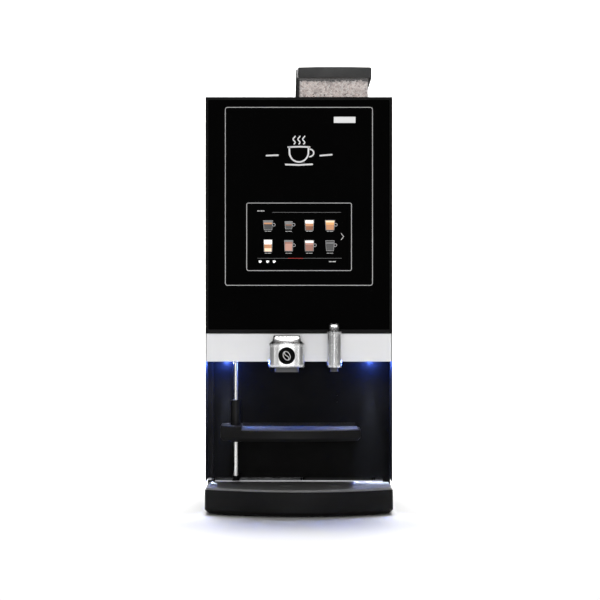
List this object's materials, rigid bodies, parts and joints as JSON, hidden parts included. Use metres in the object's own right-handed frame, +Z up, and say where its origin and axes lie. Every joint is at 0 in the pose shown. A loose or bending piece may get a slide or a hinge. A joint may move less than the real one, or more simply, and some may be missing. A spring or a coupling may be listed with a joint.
{
  "type": "coffee vending machine",
  "caption": "Table-top bean-to-cup coffee machine with a full-height glazed door, touch screen, lit niche, swing-out cup shelf, drip tray, bean hopper and working inner parts.",
  "frame": {"origin": "middle of the footprint, on the surface the machine stands on", "axes": "+X to the right seen from the front, -Y to the front, +Z up"},
  "size_m": [0.41, 0.585, 0.989],
  "materials": {
    "cabinet_black": "fine-texture powder coat, low gloss",
    "zinc_sheet": "bright zinc-plated sheet",
    "stainless": "satin stainless steel",
    "black_plastic": "moulded, slightly satin",
    "grey_plastic": "moulded, fine spark texture",
    "door_glass": "black back-printed glass, polished",
    "white_band": "smooth satin white lacquer",
    "silver_cover": "brushed and anodised",
    "clear_plastic": "clear polycarbonate",
    "tank_plastic": "translucent white polypropylene",
    "beans": "roasted coffee beans",
    "motor_metal": "passivated steel cans with black end caps",
    "circuit_green": "solder-mask green",
    "display": "lit colour display behind black glass",
    "lens": "frosted blue-white lens",
    "rubber_black": "moulded rubber",
    "silicone": "milky silicone tube",
    "brass": "machined brass",
    "white_plastic": "glossy moulded plastic"
  },
  "bodies": {
    "root": {"base_pan": "zinc_sheet", "side_panels": "cabinet_black", "rear_panel": "cabinet_black", "top_panel": "cabinet_black", "front_frame": "zinc_sheet", "tray_support": "zinc_sheet", "hinge_brackets": "zinc_sheet", "panel_screws": "stainless", "feet": "rubber_black", "water_inlet": "brass", "mains_inlet": "black_plastic", "fan_housing": "black_plastic", "component_shelf": "zinc_sheet", "canisters": "clear_plastic", "canister_lids": "black_plastic", "mixer_bowls": "grey_plastic", "drive_motors": "motor_metal", "water_tank": "tank_plastic", "pump": "brass", "boiler": "stainless", "power_supply": "zinc_sheet", "bean_hopper": "clear_plastic", "coffee_beans": "beans", "hopper_frame": "black_plastic", "grinder_housing": "grey_plastic", "brew_frame": "stainless", "brew_chamber": "grey_plastic", "grounds_bin": "black_plastic", "product_hoses": "silicone"},
    "door": {"door_side_rails": "cabinet_black", "door_cross_rails": "cabinet_black", "door_glass": "door_glass", "touchscreen": "display", "door_liner": "zinc_sheet", "control_board": "circuit_green", "fascia_band": "white_band", "niche_liner": "black_plastic", "led_lenses": "lens", "head_cover": "silver_cover", "spout_cover": "silver_cover", "outlet_nozzles": "grey_plastic", "shelf_rod": "stainless", "lock_barrel": "stainless"},
    "shelf_carriage": {"shelf_sleeve": "black_plastic"},
    "hopper_lid": {"hopper_lid": "grey_plastic"},
    "hopper_gate": {"hopper_gate": "white_plastic"},
    "power_rocker": {"power_rocker": "black_plastic"},
    "fan_rotor": {"fan_rotor": "grey_plastic"},
    "grinder_burr": {"grinder_burr": "stainless"},
    "auger_left": {"auger_left": "white_plastic"},
    "auger_right": {"auger_right": "white_plastic"},
    "whipper_left": {"whipper_left": "white_plastic"},
    "whipper_right": {"whipper_right": "white_plastic"},
    "brew_piston": {"brew_piston": "white_plastic"},
    "brew_spindle": {"brew_spindle": "stainless"},
    "lock_cam": {"lock_cam": "zinc_sheet"},
    "cup_shelf": {"cup_shelf": "black_plastic"},
    "shelf_grid": {"shelf_grid": "grey_plastic"},
    "drip_tray": {"drip_tray": "black_plastic"},
    "drip_grid": {"drip_grid": "grey_plastic"}
  },
  "joints": [
    {"name": "door_hinge", "type": "hinge", "parent": "root", "child": "door", "pos_m": [-0.198, -0.0745, 0], "axis": [0, 0, -1], "range_deg": [0, 100]},
    {"name": "lock_turn", "type": "hinge", "parent": "door", "child": "lock_cam", "pos_m": [0.1855, -0.085, 0.56], "axis": [-1, 0, 0], "range_deg": [0, 90]},
    {"name": "shelf_height", "type": "slide", "parent": "door", "child": "shelf_carriage", "axis": [0, 0, 1], "range_m": [-0.07, 0.08]},
    {"name": "shelf_swing", "type": "hinge", "parent": "shelf_carriage", "child": "cup_shelf", "pos_m": [-0.139, -0.15, 0.17], "axis": [0, 0, -1], "range_deg": [0, 90]},
    {"name": "shelf_grid_lift", "type": "slide", "parent": "cup_shelf", "child": "shelf_grid", "axis": [0, 0, 1], "range_m": [0, 0.04]},
    {"name": "tray_pull", "type": "slide", "parent": "root", "child": "drip_tray", "axis": [0, -1, 0], "range_m": [0, 0.25]},
    {"name": "tray_grid_lift", "type": "slide", "parent": "drip_tray", "child": "drip_grid", "axis": [0, 0, 1], "range_m": [0, 0.006]},
    {"name": "hopper_lid_hinge", "type": "hinge", "parent": "root", "child": "hopper_lid", "pos_m": [0.0786, 0.142, 0.97], "axis": [-1, 0, 0], "range_deg": [0, 95]},
    {"name": "hopper_gate_pull", "type": "slide", "parent": "root", "child": "hopper_gate", "axis": [0, -1, 0], "range_m": [0, 0.05]},
    {"name": "power_switch", "type": "hinge", "parent": "root", "child": "power_rocker", "pos_m": [0.141, 0.2735, 0.07], "axis": [-1, 0, 0], "range_deg": [0, 20]},
    {"name": "fan_spin", "type": "hinge", "parent": "root", "child": "fan_rotor", "pos_m": [0.08, 0.264, 0.72], "axis": [0, 1, 0], "continuous": true},
    {"name": "grinder_spin", "type": "hinge", "parent": "root", "child": "grinder_burr", "pos_m": [0.0786, 0.035, 0.79], "axis": [0, 0, 1], "continuous": true},
    {"name": "auger_left_spin", "type": "hinge", "parent": "root", "child": "auger_left", "pos_m": [-0.153, 0.03, 0.53], "axis": [0, 1, 0], "continuous": true},
    {"name": "auger_right_spin", "type": "hinge", "parent": "root", "child": "auger_right", "pos_m": [-0.063, 0.03, 0.53], "axis": [0, 1, 0], "continuous": true},
    {"name": "whipper_left_spin", "type": "hinge", "parent": "root", "child": "whipper_left", "pos_m": [-0.153, 0.03, 0.44], "axis": [0, 1, 0], "continuous": true},
    {"name": "whipper_right_spin", "type": "hinge", "parent": "root", "child": "whipper_right", "pos_m": [-0.063, 0.03, 0.44], "axis": [0, 1, 0], "continuous": true},
    {"name": "piston_stroke", "type": "slide", "parent": "root", "child": "brew_piston", "axis": [0, 0, 1], "range_m": [0, 0.04]},
    {"name": "spindle_turn", "type": "hinge", "parent": "root", "child": "brew_spindle", "pos_m": [0.1201, -0.017, 0.38], "axis": [0, 0, 1], "range_deg": [0, 3601]}
  ],
  "couplings": [
    {"joint": "spindle_turn", "follows": "piston_stroke", "rad_per_m": 1570.8}
  ]
}
